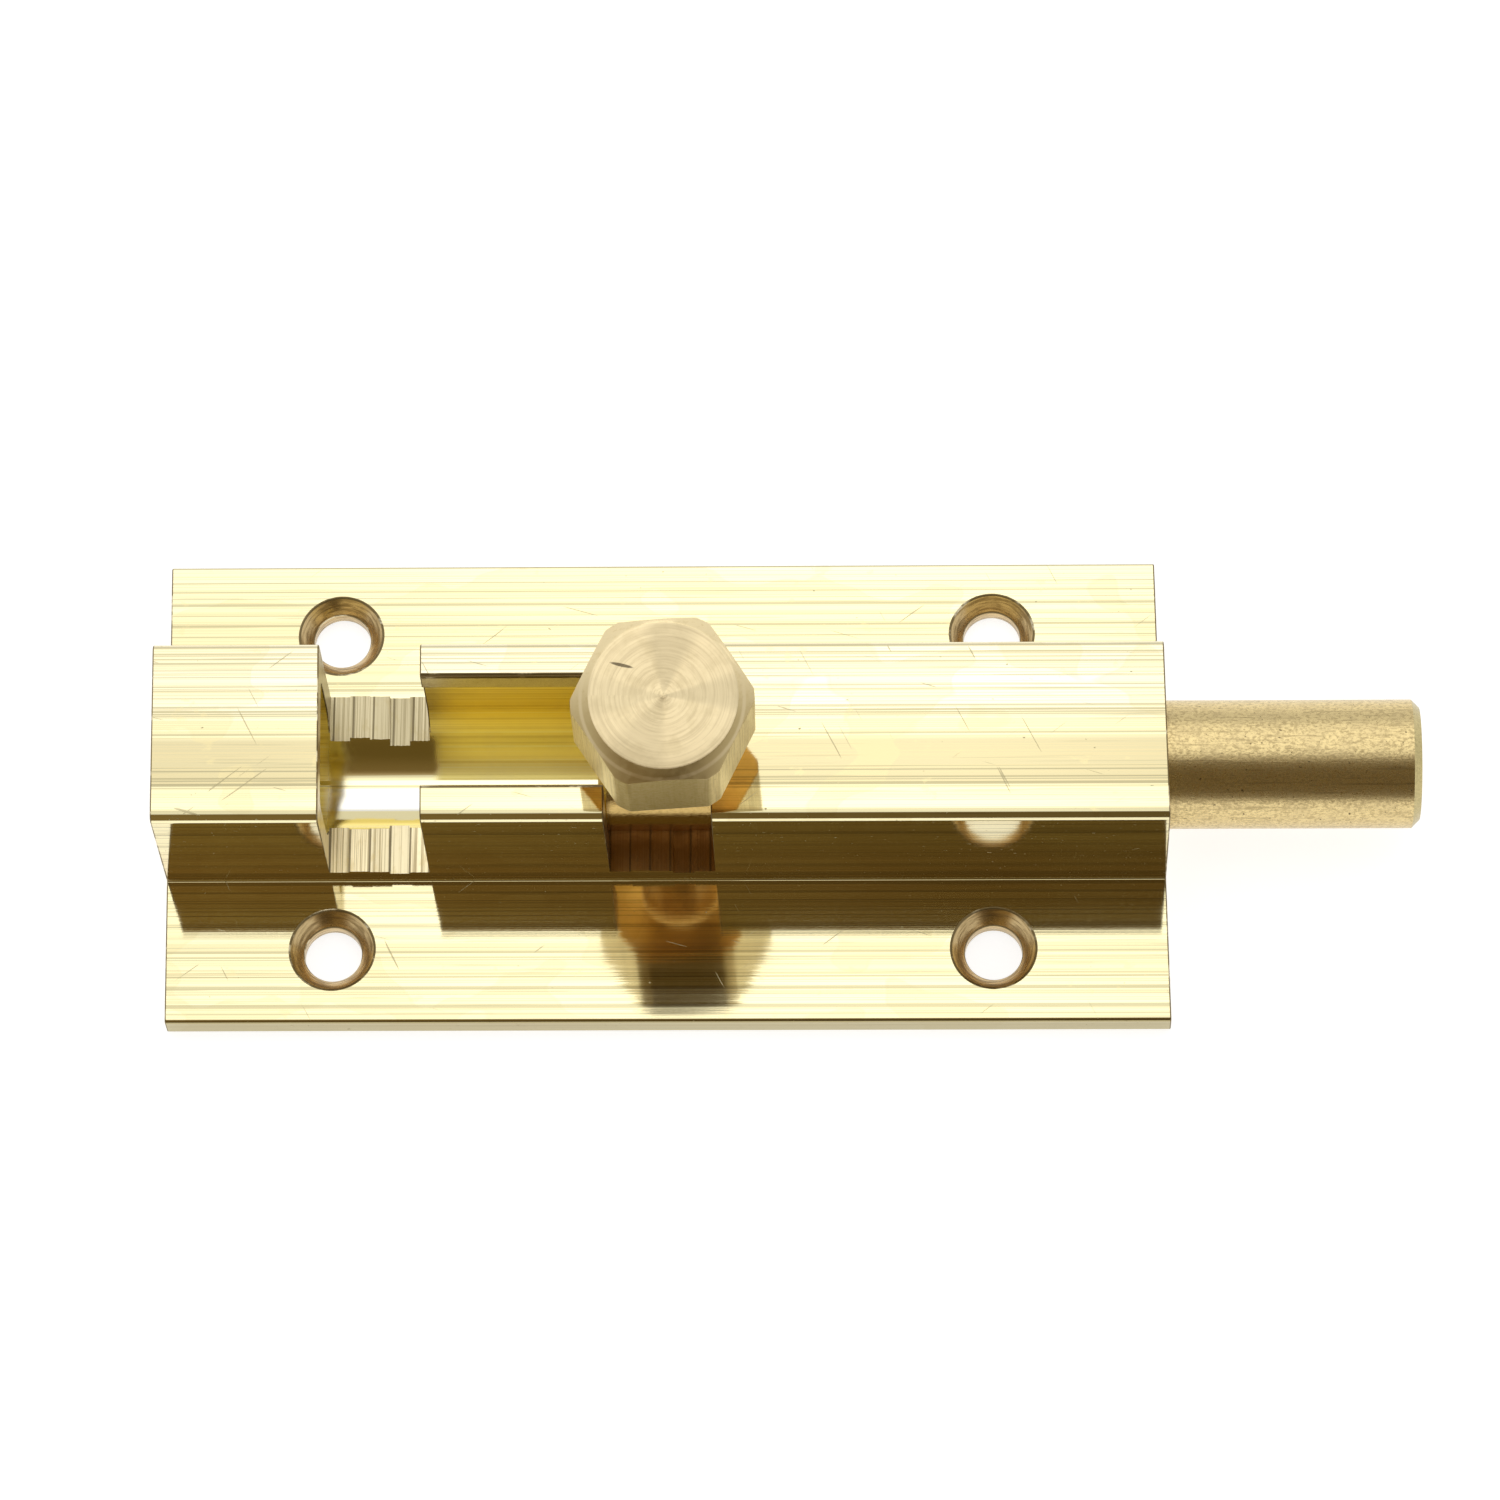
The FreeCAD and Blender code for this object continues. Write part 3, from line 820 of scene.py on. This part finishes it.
def build_knob():
    """Rings of points from the neck's saddle up over the head to the middle of its face."""
    skim = 30 - math.degrees(math.acos(KNOB_ACROSS_FLATS / 2 / KNOB_CORNER_RADIUS))
    half_sector = [0, skim * 0.5, skim * 0.86, skim, skim * 1.14, skim * 1.6, 12, 16, 20, 25]
    sector = half_sector + [30] + [60 - a for a in reversed(half_sector[1:])]
    turns = [math.radians(KNOB_TWIST + 60 * side + a) for side in range(6) for a in sector]
    slope = math.tan(math.radians(HEAD_CHAMFER_ANGLE))
    edge = HEAD_EDGE_BREAK

    def neck(radius):
        def at(turn):
            return radius, math.sqrt(SADDLE_RADIUS ** 2 - (radius * math.sin(turn)) ** 2)
        return at

    def flat(radius, height):
        return lambda turn: (radius, height)

    def side(inset, height):
        return lambda turn: (hex_radius(turn) - inset, height)

    def shoulder(inset, drop):
        def at(turn):
            radius = hex_radius(turn) - inset
            return radius, HEAD_TOP - (hex_radius(turn) - FACING_RADIUS) * slope - drop
        return at

    rings = [
        neck(0.6), neck(1.5), neck(NECK_RADIUS - 0.06), neck(NECK_RADIUS),
        flat(NECK_RADIUS, 3.6), flat(NECK_RADIUS, HEAD_UNDERSIDE - 0.25),
        flat(NECK_RADIUS + 0.03, HEAD_UNDERSIDE - 0.10), flat(NECK_RADIUS + 0.12, HEAD_UNDERSIDE),
        side(0.25, HEAD_UNDERSIDE), side(edge, HEAD_UNDERSIDE),
        side(edge * 0.3, HEAD_UNDERSIDE + edge * 0.3), side(0, HEAD_UNDERSIDE + edge),
        side(0, HEAD_UNDERSIDE + 2.4), shoulder(0, edge), shoulder(edge * 0.25, -edge * 0.05),
        shoulder(edge, -edge * slope),
        flat(FACING_RADIUS + 0.08, HEAD_TOP - 0.08 * slope), flat(FACING_RADIUS, HEAD_TOP - 0.012),
        flat(FACING_RADIUS - 0.08, HEAD_TOP),
        flat(2.7, HEAD_TOP - 0.004), flat(1.6, HEAD_TOP - 0.002), flat(0.8, HEAD_TOP - 0.006),
        flat(0.32, HEAD_TOP - 0.012), flat(0.16, HEAD_TOP + 0.02), flat(0.05, HEAD_TOP + 0.035),
    ]
    points = []
    for ring in rings:
        for turn in turns:
            radius, height = ring(turn)
            aside = FACING_CENTRE if height > HEAD_TOP - 0.05 else (0, 0)
            points.append(
                (radius * math.cos(turn) + aside[0], radius * math.sin(turn) + aside[1], height)
            )
    count = len(turns)
    faces = ring_faces(len(rings), count)
    last = (len(rings) - 1) * count
    faces.append(tuple(range(last, last + count)))
    faces.append(tuple(range(count)))
    knob = make_object("hex_knob_fine", points, faces)
    for material in (KNOB, FACED, CHAMFER):
        knob.data.materials.append(material)
    for face in knob.data.polygons:
        if face.center.z > (HEAD_TOP - 0.02) * MM:
            face.material_index = 1
        elif face.center.z > HEAD_UNDERSIDE * MM and face.normal.z > 0.5:
            face.material_index = 2
    shade(knob, angle=20)
    knob.matrix_world = (
        Matrix.Translation(Vector((KNOB_X, 0, AXIS_Z)) * MM)
        @ Matrix.Rotation(math.radians(KNOB_LEAN), 4, "X")
        @ Matrix.Rotation(math.radians(KNOB_TILT), 4, "Y")
    )
    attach(knob, "knob")
    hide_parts("hex_knob")


build_body()
build_rod()
build_knob()

# ---------------------------------------------------------------- floor, light, camera
FLOOR_TONE = (0.50, 0.50, 0.50, 1)
FLOOR_GLOW = 0.80

corners = ((-1, -1), (1, -1), (1, 1), (-1, 1))
floor = make_object(
    "floor", [(FLOOR_SIZE * u, FLOOR_SIZE * v, -FLOOR_DROP) for u, v in corners], [(0, 1, 2, 3)]
)
paper = bpy.data.materials.new("pale_floor")
paper.use_nodes = True
paper_shader = paper.node_tree.nodes["Principled BSDF"]
paper_shader.inputs["Base Color"].default_value = FLOOR_TONE
paper_shader.inputs["Roughness"].default_value = 0.9
paper_shader.inputs["Specular IOR Level"].default_value = 0.0
paper_shader.inputs["Emission Color"].default_value = (1, 1, 1, 1)
paper_shader.inputs["Emission Strength"].default_value = FLOOR_GLOW
floor.data.materials.append(paper)

# strength of the light by what it comes from
SOFTBOX = 1.36
TENT = 0.80
OPENING = 0.125
SPOT = 0.24
ROOM_COLOUR = (1.0, 0.69, 0.27)


def studio_light():
    """A pale tent with a softbox above and behind and a small bright spot in it, open to a darker,
    warmer room on the camera's side."""
    world = bpy.data.worlds.new("studio")
    world.use_nodes = True
    scene.world = world
    nodes = Nodes(world.node_tree)
    output = nodes.add("ShaderNodeOutputWorld")
    background = nodes.add("ShaderNodeBackground")
    nodes.wire(background.outputs["Background"], output.inputs["Surface"])
    coords = nodes.add("ShaderNodeTexCoord")
    split = nodes.add("ShaderNodeSeparateXYZ")
    nodes.wire(coords.outputs["Generated"], split.inputs["Vector"])
    x, y, z = (split.outputs[k] for k in "XYZ")
    back = nodes.math("ARCTAN2", y, z)
    sideways = nodes.math("ABSOLUTE", nodes.math("ADD", x, 0.04))

    def band(low, high, soft):
        """1 where the light comes from low to high degrees behind straight up."""
        start = nodes.ramp(back, math.radians(low - soft), math.radians(low + soft))
        stop = nodes.ramp(back, math.radians(high - soft), math.radians(high + soft), 1.0, 0.0)
        return nodes.times(start, stop)

    softbox = nodes.times(band(-3, 57, 3), nodes.ramp(sideways, 0.05, 0.50, 1.0, 0.0))
    opening = nodes.times(band(-100, -11, 4), nodes.ramp(sideways, 0.40, 0.65, 1.0, 0.0))
    level = nodes.math("ADD", TENT, nodes.times(softbox, SOFTBOX - TENT))
    room = nodes.mix(opening, (1.0, 1.0, 1.0), ROOM_COLOUR)
    nodes.wire(room, background.inputs["Color"])
    centred = nodes.math("ABSOLUTE", nodes.math("ADD", x, 0.025))
    spot = nodes.times(band(8, 38, 5), nodes.ramp(centred, 0.02, 0.08, 1.0, 0.0))
    level = nodes.math("ADD", level, nodes.times(spot, SPOT))
    # the room is darker towards the right
    dark = nodes.ramp(x, -0.25, 0.10, OPENING * 1.9, OPENING * 0.85)
    level = nodes.math(
        "ADD",
        nodes.times(level, nodes.math("SUBTRACT", 1.0, opening)),
        nodes.times(opening, dark),
    )
    nodes.wire(level, background.inputs["Strength"])


studio_light()

# where the photograph was taken from, solved from the plate, the screw holes and the box's edges
CAMERA_AT = Vector((14.357, -131.390, 338.378)) * MM
CAMERA_TURN = (21.607, 1.813, 0.488)
CAMERA_LENS = 170.143
CAMERA_SHIFT = (0.02349, 0.00245)
camera_data = bpy.data.cameras.new("camera")
camera_data.sensor_width = 36.0
camera_data.lens = CAMERA_LENS
camera_data.shift_x, camera_data.shift_y = CAMERA_SHIFT
camera_data.clip_start = 0.01
camera = bpy.data.objects.new("camera", camera_data)
scene.collection.objects.link(camera)
camera.location = CAMERA_AT
camera.rotation_euler = [math.radians(turn) for turn in CAMERA_TURN]
scene.camera = camera
scene.view_settings.view_transform = "Standard"
